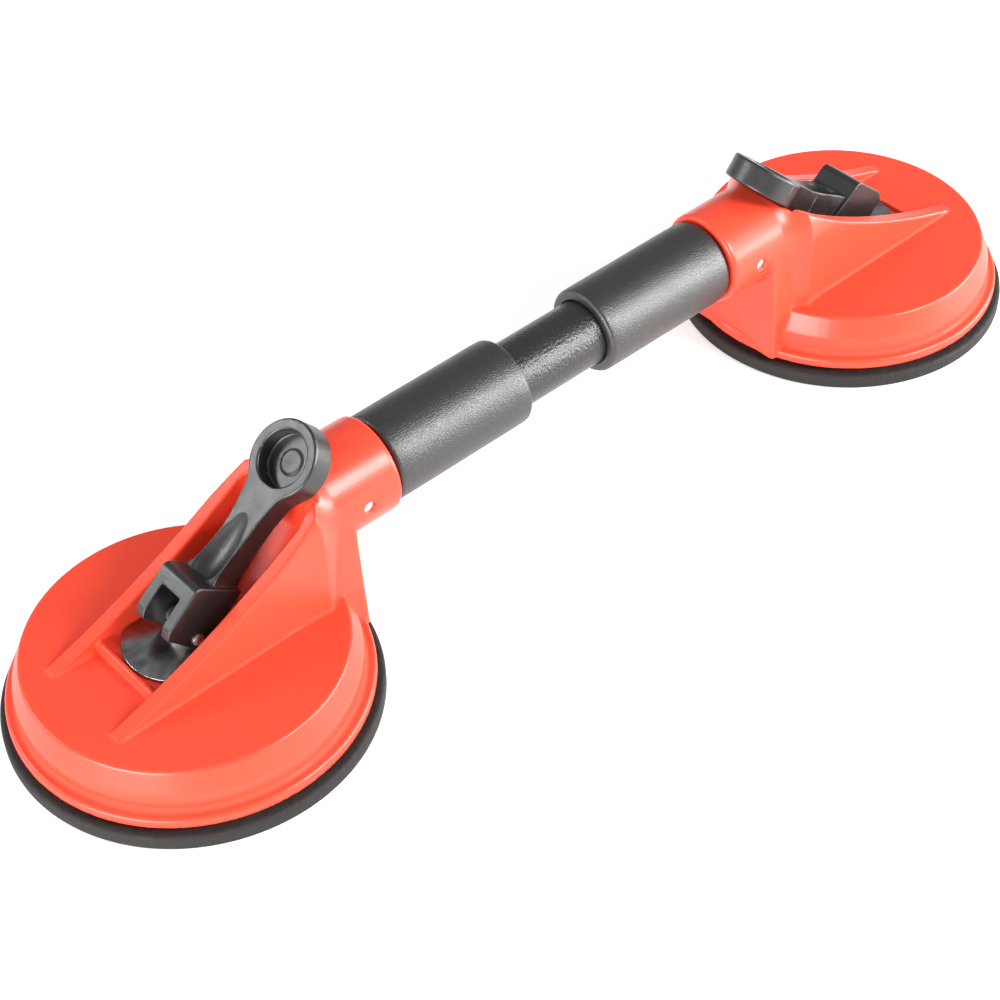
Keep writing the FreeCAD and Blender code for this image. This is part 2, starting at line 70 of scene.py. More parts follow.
SIDES = ("left", "right")
PAD_LOW, PAD_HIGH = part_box("suction_pad_left")
GRIP_LOW, GRIP_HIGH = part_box("grip_left")
HEAD_PLACE = abs(0.5 * (PAD_LOW.x + PAD_HIGH.x))
PAD_RADIUS = 0.5 * (PAD_HIGH.x - PAD_LOW.x)
BAR_HEIGHT = 0.5 * (GRIP_LOW.z + GRIP_HIGH.z)
MM = 0.001
WELD = 0.002 * MM           # points closer than this are one point
SHARP = math.radians(40)    # edges that bend more than this are rounded

# Bar, grips, plates and pins, in millimetres
TUBE_WALL = 1.5
TUBE_PIN_HOLE_RADIUS = 1.92     # through the bar
TUBE_PIN_DOME = 0.08
GRIP_BORE_RADIUS = 11.03
PLATE_END_RADIUS = 17.2
STUD_HOLE_RADIUS = 4.35         # through the wear plates
STUD_BORE_RADIUS = 2.02         # through the studs, for the axles
AXLE_DOME = 0.7

# Cam lever, in millimetres: S runs from the axle to the finger disc, N out of its front
LEVER_REST_ANGLE = 41.0     # degrees over the bar's line
LEVER_REACH = 57.2
LEVER_BACK = -5.2
DISC_FACE = 2.8
BLOCK_HALF_WIDTH = 8.05
FORK_HALF_WIDTH = 4.3
FORK_END = 8.9
AXLE_BORE_RADIUS = 2.08
DISH_AXIS = 9.8             # the dish is turned about a line this far out of the front
CUT_REACH = 20.0            # how far the cutting tools reach from the axle

# How the mouldings are melted: smoothing passes, and the share of faces that is kept
HEAD_PASSES, HEAD_KEPT = 8, 0.22
LEVER_PASSES, LEVER_KEPT = 5, 0.3

# Studio: name, power setting, width and height in metres, turn and height in degrees
LAMPS = (
    ("front_box", "front_power", (0.46, 0.50), 25, 34),
    ("back_box", "back_power", (0.42, 0.18), -134, 29),
    ("low_left_box", "fill_power", (0.9, 0.3), -75, 8),
    ("low_right_box", "fill_power", (0.9, 0.3), 57, 8),
)
LAMP_REACH = 1.3            # metres from the lifter
FLOOR_SIZE = 6.0            # metres
FLOOR_DROP = 0.0002         # metres under the pads
FLOOR_GLOW = 0.42           # what the camera and reflections see on top of the light


# Settings

class LifterSizes(bpy.types.PropertyGroup):
    """Sizes that a user would change."""
    skin_step: bpy.props.FloatProperty(
        name="Head Skin Step",
        description="Mesh size of the heads' skin, which also sets how soft its edges are",
        default=0.36 * MM, unit="LENGTH")
    lever_step: bpy.props.FloatProperty(
        name="Lever Skin Step", description="Mesh size of the levers' skin",
        default=0.28 * MM, unit="LENGTH")
    plate_round: bpy.props.FloatProperty(
        name="Plate Edge Round", description="Rolled edge of the stamped wear plates",
        default=0.4 * MM, unit="LENGTH")
    pad_rim: bpy.props.FloatProperty(
        name="Pad Rim", description="Height of the pad's outer rim",
        default=5.0 * MM, unit="LENGTH")
    turn_steps: bpy.props.IntProperty(
        name="Turning Steps", description="Faces around a turned piece", default=192)


class LifterFinish(bpy.types.PropertyGroup):
    """Colours and gloss of the lifter's materials."""
    red: bpy.props.FloatVectorProperty(
        name="Housing Red", description="Moulded plastic of the two heads",
        default=(0.90, 0.064, 0.028, 1.0), size=4, subtype="COLOR")
    red_gloss: bpy.props.FloatProperty(
        name="Housing Roughness", description="Roughness of the red plastic",
        default=0.315, subtype="FACTOR")
    rubber: bpy.props.FloatVectorProperty(
        name="Pad Rubber", description="Rubber of the suction pads",
        default=(0.018, 0.0165, 0.0155, 1.0), size=4, subtype="COLOR")
    lever: bpy.props.FloatVectorProperty(
        name="Lever Black", description="Moulded black of the cam levers",
        default=(0.008, 0.008, 0.008, 1.0), size=4, subtype="COLOR")
    grip: bpy.props.FloatVectorProperty(
        name="Grip Black", description="Grained sleeves on the bar",
        default=(0.0085, 0.0085, 0.0075, 1.0), size=4, subtype="COLOR")
    tube: bpy.props.FloatVectorProperty(
        name="Bar Black", description="Textured coating of the bar",
        default=(0.009, 0.009, 0.008, 1.0), size=4, subtype="COLOR")


class LifterStage(bpy.types.PropertyGroup):
    """Camera and studio."""
    eye: bpy.props.FloatVectorProperty(
        name="Camera Place", description="Where the camera stands",
        default=(-0.3472, -0.3882, 0.4941), size=3, subtype="TRANSLATION")
    azimuth: bpy.props.FloatProperty(
        name="Azimuth", description="Turn of the view about the upright",
        default=math.radians(-40.12), subtype="ANGLE")
    elevation: bpy.props.FloatProperty(
        name="Elevation", description="Height of the view over the floor",
        default=math.radians(44.25), subtype="ANGLE")
    roll: bpy.props.FloatProperty(
        name="Roll", description="Turn of the picture",
        default=math.radians(2.25), subtype="ANGLE")
    lens: bpy.props.FloatProperty(
        name="Focal Length", description="Lens for a 36 mm wide picture",
        default=78.18, subtype="DISTANCE_CAMERA")
    front_power: bpy.props.FloatProperty(
        name="Front Power", description="Power of the soft box in front, on the right",
        default=17.0, unit="POWER")
    fill_power: bpy.props.FloatProperty(
        name="Fill Power", description="Power of each of the two low boxes beside the camera",
        default=20.0, unit="POWER")
    back_power: bpy.props.FloatProperty(
        name="Back Power", description="Power of the soft box behind, on the left",
        default=5.0, unit="POWER")
    surround: bpy.props.FloatProperty(
        name="Surround", description="Brightness of the room's walls",
        default=0.43, subtype="FACTOR")


# Node helpers

def put(nodes, kind, place, **values):
    """Add a node, set its options by name and its inputs by their labels."""
    node = nodes.new(kind)
    node.location = place
    for key, value in values.items():
        if hasattr(node, key):
            setattr(node, key, value)
        else:
            node.inputs[key.replace("_", " ")].default_value = value
    return node


def new_group(name, inputs, outputs):
    """Empty shader node group with named sockets. Returns it with its two end nodes."""
    group = bpy.data.node_groups.new(name, "ShaderNodeTree")
    for label, kind, default in inputs:
        socket = group.interface.new_socket(label, in_out="INPUT", socket_type=kind)
        if default is not None:
            socket.default_value = default
    for label, kind in outputs:
        group.interface.new_socket(label, in_out="OUTPUT", socket_type=kind)
    start = group.nodes.new("NodeGroupInput")
    end = group.nodes.new("NodeGroupOutput")
    start.location, end.location = (-900, 0), (600, 0)
    return group, start, end


def grain_group():
    """Fine moulded grain: an uneven height and the share of it that is a pit."""
    group, start, end = new_group("Grain", [
        ("Vector", "NodeSocketVector", None), ("Scale", "NodeSocketFloat", 900.0),
        ("Detail", "NodeSocketFloat", 3.0), ("Sharpness", "NodeSocketFloat", 0.5)], [
        ("Height", "NodeSocketFloat"), ("Spots", "NodeSocketFloat")])
    nodes, links = group.nodes, group.links
    noise = put(nodes, "ShaderNodeTexNoise", (-600, 100))
    links.new(start.outputs["Vector"], noise.inputs["Vector"])
    links.new(start.outputs["Scale"], noise.inputs["Scale"])
    links.new(start.outputs["Detail"], noise.inputs["Detail"])
    spread = put(nodes, "ShaderNodeMapRange", (-350, 100), From_Min=0.2, From_Max=0.8)
    links.new(noise.outputs["Fac"], spread.inputs["Value"])
    power = put(nodes, "ShaderNodeMath", (-100, 0), operation="POWER")
    lift = put(nodes, "ShaderNodeMath", (-350, -150), operation="MULTIPLY_ADD")
    lift.inputs[1].default_value, lift.inputs[2].default_value = 3.0, 1.0
    links.new(start.outputs["Sharpness"], lift.inputs[0])
    links.new(spread.outputs["Result"], power.inputs[0])
    links.new(lift.outputs[0], power.inputs[1])
    links.new(spread.outputs["Result"], end.inputs["Height"])
    links.new(power.outputs[0], end.inputs["Spots"])
    return group


def cell_group():
    """Leather-like grain: raised cells parted by fine grooves."""
    group, start, end = new_group("Cells", [
        ("Vector", "NodeSocketVector", None), ("Scale", "NodeSocketFloat", 700.0),
        ("Groove", "NodeSocketFloat", 0.12)], [
        ("Height", "NodeSocketFloat"), ("Tone", "NodeSocketFloat")])
    nodes, links = group.nodes, group.links
    warp = put(nodes, "ShaderNodeTexNoise", (-800, -200), Scale=400.0)
    links.new(start.outputs["Vector"], warp.inputs["Vector"])
    offset = put(nodes, "ShaderNodeVectorMath", (-600, -200), operation="MULTIPLY_ADD")
    offset.inputs[1].default_value = (0.0012, 0.0012, 0.0012)
    links.new(warp.outputs["Color"], offset.inputs[0])
    links.new(start.outputs["Vector"], offset.inputs[2])
    edge = put(nodes, "ShaderNodeTexVoronoi", (-380, 100), feature="DISTANCE_TO_EDGE")
    tone = put(nodes, "ShaderNodeTexVoronoi", (-380, -250), feature="F1")
    for cells in (edge, tone):
        links.new(offset.outputs[0], cells.inputs["Vector"])
        links.new(start.outputs["Scale"], cells.inputs["Scale"])
    rise = put(nodes, "ShaderNodeMapRange", (-100, 100), interpolation_type="SMOOTHSTEP")
    links.new(edge.outputs["Distance"], rise.inputs["Value"])
    links.new(start.outputs["Groove"], rise.inputs["From Max"])
    links.new(rise.outputs["Result"], end.inputs["Height"])
    links.new(tone.outputs["Color"], end.inputs["Tone"])
    return group


def wear_and_highlight_group():
    """Edges picked out by the mesh's curvature and broken up by noise. It marks wear, and on the
    levers also a painted edge highlight.
    """
    group, start, end = new_group("Edge Wear", [
        ("Vector", "NodeSocketVector", None), ("Low", "NodeSocketFloat", 0.52),
        ("High", "NodeSocketFloat", 0.6), ("Amount", "NodeSocketFloat", 1.0),
        ("Breakup", "NodeSocketFloat", 300.0)], [("Mask", "NodeSocketFloat")])
    nodes, links = group.nodes, group.links
    shape = put(nodes, "ShaderNodeNewGeometry", (-700, 100))
    bent = put(nodes, "ShaderNodeMapRange", (-300, 100), interpolation_type="SMOOTHSTEP")
    links.new(shape.outputs["Pointiness"], bent.inputs["Value"])
    links.new(start.outputs["Low"], bent.inputs["From Min"])
    links.new(start.outputs["High"], bent.inputs["From Max"])
    noise = put(nodes, "ShaderNodeTexNoise", (-500, -200), Detail=4.0)
    links.new(start.outputs["Vector"], noise.inputs["Vector"])
    links.new(start.outputs["Breakup"], noise.inputs["Scale"])
    broken = put(nodes, "ShaderNodeMapRange", (-300, -200), From_Min=0.25, From_Max=0.6)
    links.new(noise.outputs["Fac"], broken.inputs["Value"])
    both = put(nodes, "ShaderNodeMath", (0, 0), operation="MULTIPLY")
    links.new(bent.outputs["Result"], both.inputs[0])
    links.new(broken.outputs["Result"], both.inputs[1])
    scaled = put(nodes, "ShaderNodeMath", (200, 0), operation="MULTIPLY", use_clamp=True)
    links.new(both.outputs[0], scaled.inputs[0])
    links.new(start.outputs["Amount"], scaled.inputs[1])
    links.new(scaled.outputs[0], end.inputs["Mask"])
    return group


def hollow_group():
    """Inside corners, found by the mesh's curvature."""
    group, start, end = new_group("Hollows", [
        ("Low", "NodeSocketFloat", 0.44), ("High", "NodeSocketFloat", 0.485),
        ("Amount", "NodeSocketFloat", 1.0)], [("Mask", "NodeSocketFloat")])
    nodes, links = group.nodes, group.links
    shape = put(nodes, "ShaderNodeNewGeometry", (-600, 0))
    sunk = put(nodes, "ShaderNodeMapRange", (-300, 0), To_Min=1.0, To_Max=0.0)
    links.new(shape.outputs["Pointiness"], sunk.inputs["Value"])
    links.new(start.outputs["Low"], sunk.inputs["From Min"])
    links.new(start.outputs["High"], sunk.inputs["From Max"])
    scaled = put(nodes, "ShaderNodeMath", (100, 0), operation="MULTIPLY")
    links.new(sunk.outputs["Result"], scaled.inputs[0])
    links.new(start.outputs["Amount"], scaled.inputs[1])
    links.new(scaled.outputs[0], end.inputs["Mask"])
    return group


def shared_group(name):
    """A node group by name, built the first time that it is asked for."""
    makers = {"Grain": grain_group, "Cells": cell_group, "Edge Wear": wear_and_highlight_group,
              "Hollows": hollow_group}
    return bpy.data.node_groups.get(name) or makers[name]()


def place_group(nodes, name, place, **values):
    """Put a shared group among a material's nodes and set its inputs by their labels."""
    node = nodes.new("ShaderNodeGroup")
    node.node_tree = shared_group(name)
    node.location = place
    for key, value in values.items():
        node.inputs[key.replace("_", " ")].default_value = value
    return node


def new_material(name):
    """Node material with its shader and object coordinates. Returns all that a maker needs."""
    material = bpy.data.materials.new(name)
    material.use_nodes = True
    nodes, links = material.node_tree.nodes, material.node_tree.links
    shader = nodes["Principled BSDF"]
    shader.location = (300, 0)
    nodes["Material Output"].location = (600, 0)
    where = put(nodes, "ShaderNodeTexCoord", (-1200, 0)).outputs["Object"]
    return material, nodes, links, shader, where


def mixed(nodes, links, place, low, high, share):
    """Colour between two colours by a share socket."""
    mix = put(nodes, "ShaderNodeMix", place, data_type="RGBA")
    mix.inputs[6].default_value = low
    mix.inputs[7].default_value = high
    links.new(share, mix.inputs[0])
    return mix.outputs[2]


def shaded(colour, by):
    """Colour made darker or lighter."""
    return (colour[0] * by, colour[1] * by, colour[2] * by, 1.0)


def between(nodes, links, share, low, high):
    """Value between two values by a share socket."""
    span = put(nodes, "ShaderNodeMapRange", (-200, -300), To_Min=low, To_Max=high)
    links.new(share, span.inputs["Value"])
    return span.outputs["Result"]


def bumped(nodes, links, shader, height, strength, distance):
    """Raise a material's surface by a height socket."""
    bump = put(nodes, "ShaderNodeBump", (0, -300), Strength=strength, Distance=distance)
    links.new(height, bump.inputs["Height"])
    links.new(bump.outputs["Normal"], shader.inputs["Normal"])


# Materials

def red_plastic(finish):
    """Satin red plastic, a little paler on its edges and duller in its inside corners."""
    material, nodes, links, shader, where = new_material("housing_red_plastic")
    grain = place_group(nodes, "Grain", (-900, 200), Scale=1500.0, Detail=2.0)
    cloud = place_group(nodes, "Grain", (-900, -100), Scale=30.0, Detail=1.0)
    rough = place_group(nodes, "Grain", (-900, -400), Scale=70.0, Detail=1.0)
    wear = place_group(nodes, "Edge Wear", (-600, 500),
                       Low=0.56, High=0.66, Amount=0.2, Breakup=220.0)
    hollow = place_group(nodes, "Hollows", (-600, -700), Low=0.475, High=0.499, Amount=0.8)
    for group in (grain, cloud, rough, wear):
        links.new(where, group.inputs["Vector"])
    tone = mixed(nodes, links, (-500, 0), shaded(finish.red, 0.97), finish.red,
                 cloud.outputs["Height"])
    paler = put(nodes, "ShaderNodeMix", (-200, 100), data_type="RGBA")
    paler.inputs[7].default_value = (0.96, 0.22, 0.14, 1.0)
    links.new(tone, paler.inputs[6])
    links.new(wear.outputs["Mask"], paler.inputs[0])
    links.new(paler.outputs[2], shader.inputs["Base Color"])
    gloss = between(nodes, links, rough.outputs["Height"],
                    finish.red_gloss - 0.03, finish.red_gloss + 0.03)
    dulled = put(nodes, "ShaderNodeMath", (50, -500), operation="ADD", use_clamp=True)
    links.new(gloss, dulled.inputs[0])
    links.new(hollow.outputs["Mask"], dulled.inputs[1])
    links.new(dulled.outputs[0], shader.inputs["Roughness"])
    bumped(nodes, links, shader, grain.outputs["Height"], 0.04, 0.0001)
    shader.inputs["IOR"].default_value = 1.5
    return material


def black_moulding(finish):
    """Fine-grained black plastic with greyed edges, which are partly wear and partly a painted edge
    highlight.
    """
    material, nodes, links, shader, where = new_material("lever_black_moulding")
    grain = place_group(nodes, "Grain", (-900, 200), Scale=2600.0, Detail=3.0)
    rough = place_group(nodes, "Grain", (-900, -300), Scale=260.0, Detail=3.0)
    # Edge mask for the greyed edges: partly wear, partly a painted highlight along the edges
    wear = place_group(nodes, "Edge Wear", (-600, 500),
                       Low=0.525, High=0.57, Amount=0.6, Breakup=300.0)
    for group in (grain, rough, wear):
        links.new(where, group.inputs["Vector"])
    # Grey edge colour: partly wear, partly painted edge highlight
    colour = mixed(nodes, links, (-300, 100), finish.lever, (0.13, 0.13, 0.125, 1.0),
                   wear.outputs["Mask"])
    links.new(colour, shader.inputs["Base Color"])
    gloss = between(nodes, links, rough.outputs["Height"], 0.30, 0.42)
    links.new(gloss, shader.inputs["Roughness"])
    bumped(nodes, links, shader, grain.outputs["Height"], 0.35, 0.0001)
    shader.inputs["IOR"].default_value = 1.7
    return material


def pad_rubber(finish):
    """Matt black rubber with a coarse grain and a little dust."""
    material, nodes, links, shader, where = new_material("pad_black_rubber")
    grain = place_group(nodes, "Grain", (-900, 200), Scale=480.0, Detail=6.0)
    dust = place_group(nodes, "Grain", (-900, -200), Scale=90.0, Detail=6.0, Sharpness=0.6)
    for group in (grain, dust):
        links.new(where, group.inputs["Vector"])
    colour = mixed(nodes, links, (-300, 100), finish.rubber, shaded(finish.rubber, 1.5),
                   dust.outputs["Spots"])
    links.new(colour, shader.inputs["Base Color"])
    gloss = between(nodes, links, dust.outputs["Height"], 0.6, 0.8)
    links.new(gloss, shader.inputs["Roughness"])
    bumped(nodes, links, shader, grain.outputs["Height"], 0.9, 0.0003)
    shader.inputs["IOR"].default_value = 1.4
    return material


def grip_leather(finish):
    """Black sleeve with a fine leather-like grain."""
    material, nodes, links, shader, where = new_material("grip_grained_sleeve")
    cells = place_group(nodes, "Cells", (-900, 200), Scale=1250.0, Groove=0.3)
    rough = place_group(nodes, "Grain", (-900, -300), Scale=120.0, Detail=5.0)
    links.new(where, cells.inputs["Vector"])
    links.new(where, rough.inputs["Vector"])
    colour = mixed(nodes, links, (-300, 100), shaded(finish.grip, 0.7), shaded(finish.grip, 1.3),
                   cells.outputs["Tone"])
    links.new(colour, shader.inputs["Base Color"])
    gloss = between(nodes, links, rough.outputs["Height"], 0.38, 0.44)
    links.new(gloss, shader.inputs["Roughness"])
    bumped(nodes, links, shader, cells.outputs["Height"], 0.38, 0.00011)
    shader.inputs["IOR"].default_value = 1.8
    return material


def tube_coating(finish):
    """Gritty black coating."""
    material, nodes, links, shader, where = new_material("tube_textured_coating")
    grit = place_group(nodes, "Grain", (-900, 200),
                       Scale=1050.0, Detail=5.0, Sharpness=0.7)
    rough = place_group(nodes, "Grain", (-900, -300), Scale=500.0, Detail=5.0)
    links.new(where, grit.inputs["Vector"])
    links.new(where, rough.inputs["Vector"])
    colour = mixed(nodes, links, (-300, 100), finish.tube, shaded(finish.tube, 2.0),
                   grit.outputs["Spots"])
    links.new(colour, shader.inputs["Base Color"])
    gloss = between(nodes, links, rough.outputs["Height"], 0.28, 0.34)
    links.new(gloss, shader.inputs["Roughness"])
    bumped(nodes, links, shader, grit.outputs["Height"], 0.8, 0.0002)
    shader.inputs["IOR"].default_value = 1.65
    return material


def zinc_plate():
    """Zinc plating, mottled and drawn out along the plate. Its dark and light bands are partly real
    mottle and partly painted reflection of the surroundings.
    """
    material, nodes, links, shader, where = new_material("plate_mottled_zinc")
    # Stretched so that the mottle runs in bands, which partly paint the plate's reflection of its
    # surroundings
    drawn = put(nodes, "ShaderNodeVectorMath", (-1050, 200), operation="MULTIPLY")
    drawn.inputs[1].default_value = (0.7, 1.0, 1.0)
    links.new(where, drawn.inputs[0])
    mottle_and_reflection = place_group(nodes, "Grain", (-900, 200), Scale=240.0, Detail=6.0, Sharpness=0.2)
    cloud = place_group(nodes, "Grain", (-900, -200), Scale=75.0, Detail=4.0)
    links.new(drawn.outputs[0], mottle_and_reflection.inputs["Vector"])
    links.new(where, cloud.inputs["Vector"])
    # Dark and light plate colours: real mottle, and partly painted reflection
    colour = mixed(nodes, links, (-300, 100), (0.09, 0.09, 0.09, 1), (0.40, 0.40, 0.41, 1),
                   mottle_and_reflection.outputs["Height"])
    links.new(colour, shader.inputs["Base Color"])
    shader.inputs["Metallic"].default_value = 1.0
    gloss = between(nodes, links, mottle_and_reflection.outputs["Height"], 0.19, 0.27)
    links.new(gloss, shader.inputs["Roughness"])
    bumped(nodes, links, shader, cloud.outputs["Height"], 0.4, 0.0003)
    return material


def bright_steel():
    """Turned bright steel."""
    material, nodes, links, shader, where = new_material("pin_turned_steel")
    cloud = place_group(nodes, "Grain", (-900, -200), Scale=700.0, Detail=4.0)
    links.new(where, cloud.inputs["Vector"])
    colour = mixed(nodes, links, (-300, 100), (0.80, 0.80, 0.79, 1), (0.94, 0.94, 0.93, 1),
                   cloud.outputs["Height"])
    links.new(colour, shader.inputs["Base Color"])
    shader.inputs["Metallic"].default_value = 1.0
    gloss = between(nodes, links, cloud.outputs["Height"], 0.28, 0.42)
    links.new(gloss, shader.inputs["Roughness"])
    bumped(nodes, links, shader, cloud.outputs["Height"], 0.1, 0.00005)
    return material


def dress(piece, material):
    """Give a piece or a CAD node a material that mix_finishes has made."""
    piece.data.materials.clear()
    piece.data.materials.append(bpy.data.materials[material])


# Modelling helpers

def take(*pieces):
    """Select only these pieces, the first of them active."""
    if bpy.context.object and bpy.context.object.mode != "OBJECT":
        bpy.ops.object.mode_set(mode="OBJECT")
    bpy.ops.object.select_all(action="DESELECT")
    for piece in pieces:
        piece.select_set(True)
    bpy.context.view_layer.objects.active = pieces[0] if pieces else None


def drawn_line(name, points):
    """Chain of vertices, extruded from point to point. Stays in edit mode, all selected."""
    take()
    bpy.ops.mesh.primitive_plane_add(size=MM)
    piece = bpy.context.object
    piece.name = name
    bpy.ops.object.mode_set(mode="EDIT")
    bpy.ops.mesh.merge(type="CENTER")
    points = [Vector(point) for point in points]
    bpy.ops.transform.translate(value=points[0])
    for start, end in zip(points, points[1:]):
        bpy.ops.mesh.extrude_vertices_move(TRANSFORM_OT_translate={"value": end - start})
    bpy.ops.mesh.select_all(action="SELECT")
    return piece


def closed_up():
    """Merge doubles and turn the faces outwards, then leave edit mode."""
    bpy.ops.mesh.select_all(action="SELECT")
    bpy.ops.mesh.remove_doubles(threshold=WELD)
    bpy.ops.mesh.normals_make_consistent(inside=False)
    bpy.ops.object.mode_set(mode="OBJECT")


def turned_piece(name, profile, steps, axis=(0, 0, 1)):
    """Spin a profile of radius and height, in millimetres, about Z or X."""
    along_z = axis[2] == 1
    line = [(r * MM, 0, h * MM) if along_z else (h * MM, 0, r * MM) for r, h in profile]
    piece = drawn_line(name, line)
    bpy.ops.mesh.spin(steps=steps, angle=math.tau, center=(0, 0, 0), axis=axis)
    closed_up()
    return piece


def drawn_slab(name, outline, drop, run):
    """Face inside a closed outline, moved by drop and extruded by run. Millimetres."""
    points = [Vector(point) * MM for point in outline]
    piece = drawn_line(name, points + points[:1])
    bpy.ops.mesh.remove_doubles(threshold=WELD)
    bpy.ops.mesh.edge_face_add()
    bpy.ops.transform.translate(value=Vector(drop) * MM)
    bpy.ops.mesh.extrude_region_move(TRANSFORM_OT_translate={"value": Vector(run) * MM})
    closed_up()
    return piece


def curve_through(points, steps):
    """Smooth line of points through a few given ones."""
    line = []
    last = len(points) - 1
    for i in range(last):
        before, a, b, after = (Vector(points[max(0, min(last, i + k))]) for k in (-1, 0, 1, 2))
        for step in range(steps):
            t = step / steps
            bend = ((2 * before - 5 * a + 4 * b - after) * t * t
                    + (3 * a - before - 3 * b + after) * t ** 3)
            line.append(tuple(a + 0.5 * ((b - before) * t + bend)))
    return line + [tuple(points[-1])]


def arc_through(a, b, c, steps):
    """Points on the circle from a over b to c, all flat in the first two coordinates."""
    (ax, ay), (bx, by), (cx, cy) = a, b, c
    d = 2 * (ax * (by - cy) + bx * (cy - ay) + cx * (ay - by))
    ux = ((ax * ax + ay * ay) * (by - cy) + (bx * bx + by * by) * (cy - ay)
          + (cx * cx + cy * cy) * (ay - by)) / d
    uy = ((ax * ax + ay * ay) * (cx - bx) + (bx * bx + by * by) * (ax - cx)
          + (cx * cx + cy * cy) * (bx - ax)) / d
    start = math.atan2(ay - uy, ax - ux)
    sweep = (math.atan2(cy - uy, cx - ux) - start) % math.tau
    if (math.atan2(by - uy, bx - ux) - start) % math.tau > sweep:
        sweep -= math.tau
    radius = math.hypot(ax - ux, ay - uy)
    return [(ux + radius * math.cos(start + sweep * k / steps),
             uy + radius * math.sin(start + sweep * k / steps)) for k in range(steps + 1)]


def changed(piece, kind, **values):
    """Change a piece by a modifier, which is applied at once."""
    take(piece)
    bpy.ops.object.modifier_add(type=kind)
    change = piece.modifiers[-1]
    for key, value in values.items():
        setattr(change, key, value)
    bpy.ops.object.modifier_apply(modifier=change.name)
    return piece


def combined(piece, tool, operation, solver="EXACT"):
    """Boolean with a tool piece, which is then removed."""
    changed(piece, "BOOLEAN", operation=operation, object=tool, solver=solver)
    mesh = tool.data
    bpy.data.objects.remove(tool)
    bpy.data.meshes.remove(mesh)
    return piece


def tidied(piece):
    """Merge the points that a cut leaves on top of each other."""
    take(piece)
    bpy.ops.object.mode_set(mode="EDIT")
    bpy.ops.mesh.select_all(action="SELECT")
    bpy.ops.mesh.dissolve_degenerate(threshold=WELD)
    closed_up()
    return piece


def merged_copy(node, name):
    """Copy of a CAD node with its loose triangles joined into one closed skin."""
    take(frame["nodes"][node])
    bpy.ops.object.duplicate()
    piece = bpy.context.object
    piece.name = name
    del piece["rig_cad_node"]
    bpy.ops.object.parent_clear(type="CLEAR")
    bpy.ops.object.mode_set(mode="EDIT")
    closed_up()
    return piece


def middle_of(node):
    """Centre of a CAD node's box."""
    low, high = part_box(node)
    return 0.5 * (low + high)


def post(radius, length, steps, rotation=(0, 0, 0)):
    """Cylinder to cut with, upright unless it is turned. Millimetres."""
    take()
    bpy.ops.mesh.primitive_cylinder_add(vertices=steps, radius=radius * MM, depth=length * MM,
                                        rotation=rotation)
    piece = bpy.context.object
    bpy.ops.object.transform_apply(location=True, rotation=True, scale=True)
    return piece


def edged(piece, width, segments):
    """Round every sharp edge of a piece."""
    return changed(piece, "BEVEL", width=width, segments=segments, limit_method="ANGLE",
                   angle_limit=SHARP)


def softened(piece, step, passes, keep):
    """Melt a piece into one skin, ease its edges as a moulding's are, and thin out its faces."""
    changed(piece, "REMESH", mode="VOXEL", voxel_size=step, use_smooth_shade=True)
    changed(piece, "SMOOTH", factor=0.5, iterations=passes)
    return changed(piece, "DECIMATE", ratio=keep)


def placed(piece, matrix):
    """Put a piece in its place, and keep that place in its mesh."""
    take(piece)
    piece.matrix_world = matrix
    bpy.ops.object.transform_apply(location=True, rotation=True, scale=True)
    return piece


def mirrored(piece, name):
    """Copy a piece of the left head to the right head."""
    take(piece)
    bpy.ops.object.duplicate()
    copy = bpy.context.object
    copy.name = name
    copy.scale = (-1, 1, 1)
    bpy.ops.object.transform_apply(location=True, rotation=True, scale=True)
    bpy.ops.object.mode_set(mode="EDIT")
    bpy.ops.mesh.select_all(action="SELECT")
    bpy.ops.mesh.normals_make_consistent(inside=False)
    bpy.ops.object.mode_set(mode="OBJECT")
    return copy


def finished(piece, material, slot, body, *nodes, smooth=30.0):
    """Give a piece its shading and material, tie it to its body, and hide the CAD nodes that it
    stands for.
    """
    take(piece)
    if smooth:
        bpy.ops.object.shade_smooth_by_angle(angle=math.radians(smooth))
    else:
        bpy.ops.object.shade_smooth()
    dress(piece, material)
    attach(piece, body)
    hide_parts(*nodes)


def finished_pair(left, material, slot, body, node, smooth=30.0):
    """Mirror a left piece and finish both. Names that end in _ get the side."""
    right = mirrored(left, left.name.replace("left", "right"))
    for side, piece in zip(SIDES, (left, right)):
        finished(piece, material, slot, body + side if body.endswith("_") else body,
                 node + side, smooth=smooth)


# Operators

class LIFTER_OT_mix_finishes(bpy.types.Operator):
    """Make the materials that the pieces share"""
    bl_idname = "lifter.mix_finishes"
    bl_label = "Mix Finishes"

    def execute(self, context):
        finish = context.scene.lifter_finish
        red_plastic(finish)
        black_moulding(finish)
        pad_rubber(finish)
        grip_leather(finish)
        tube_coating(finish)
        zinc_plate()
        bright_steel()
        return {"FINISHED"}


class LIFTER_OT_make_pads(bpy.types.Operator):
    """Turn the rubber suction pads, with a rounded rim and a hollow sole"""
    bl_idname = "lifter.make_pads"
    bl_label = "Make Suction Pads"

    def execute(self, context):
        sizes = context.scene.lifter_sizes
        edge, rim = PAD_RADIUS / MM, sizes.pad_rim / MM
        profile = [
            (0, 1.0), (30.5, 1.0), (48.5, 0.02), (49.2, 0), (edge - 1.0, 0), (edge - 0.4, 0.1),
            (edge - 0.1, 0.4), (edge, 0.9), (edge, rim - 1.5), (edge - 0.08, rim - 1.0),
            (edge - 0.3, rim - 0.55), (edge - 0.7, rim - 0.2), (edge - 1.2, rim - 0.05),
            (edge - 1.8, rim), (edge - 3.4, rim), (edge - 3.8, rim - 0.06), (edge - 4.2, rim),
            (47.0, rim), (43.8, 4.2), (25.2, 4.2), (22.0, 10.1), (0, 10.1)]
        left = turned_piece("rubber_pad_left", profile, sizes.turn_steps)
        placed(left, Matrix.Translation((-HEAD_PLACE, 0, 0)))
        finished_pair(left, "pad_black_rubber", "pad_rubber", "frame", "suction_pad_")
        return {"FINISHED"}


